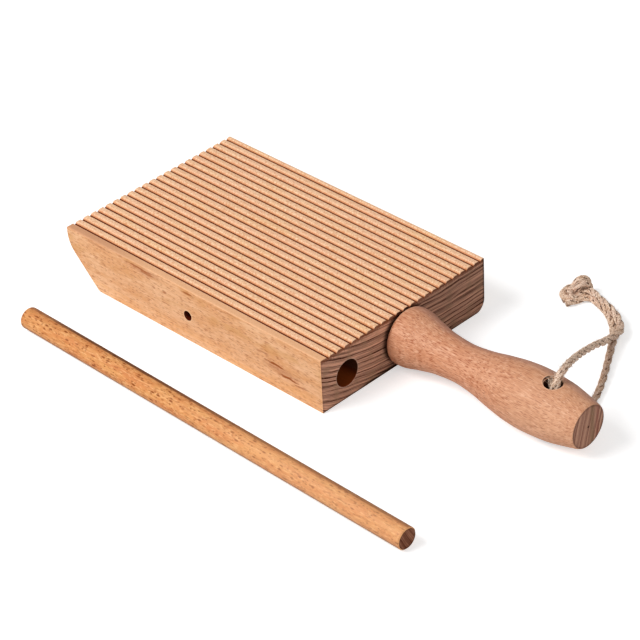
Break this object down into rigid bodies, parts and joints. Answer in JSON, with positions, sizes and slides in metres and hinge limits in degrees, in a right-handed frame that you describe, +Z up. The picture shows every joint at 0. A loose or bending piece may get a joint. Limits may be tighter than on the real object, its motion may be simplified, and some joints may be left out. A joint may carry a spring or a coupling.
{
  "type": "ridged board with dowel",
  "caption": "Wooden board with lengthwise ridges, a turned handle with a hanging cord loop, and a loose dowel that stores in a bore in the board's end.",
  "frame": {"origin": "centre of the board's underside, on the table", "axes": "+X along the board towards the handle, +Z up, the dowel lies on the -Y side"},
  "size_m": [0.2544, 0.1872, 0.0326],
  "materials": {
    "board_beech": "sanded, oiled, pale orange-tan, dark brown end grain",
    "handle_beech": "turned and sanded, pinkish tan, fine short dark flecks along the grain",
    "dowel_beech": "smooth, warm orange-tan, short dark flecks along the grain",
    "cord_jute": "matt three-ply twisted jute with loose fibres"
  },
  "bodies": {
    "board": {"board": "board_beech", "handle": "handle_beech", "cord_upper_strand": "cord_jute", "cord_lower_strand": "cord_jute", "cord_knot": "cord_jute"},
    "dowel": {"dowel": "dowel_beech"}
  },
  "joints": [
    {"name": "dowel_lift", "type": "slide", "parent": "board", "child": "dowel", "axis": [0, 0, 1], "range_m": [0, 0.06]}
  ]
}
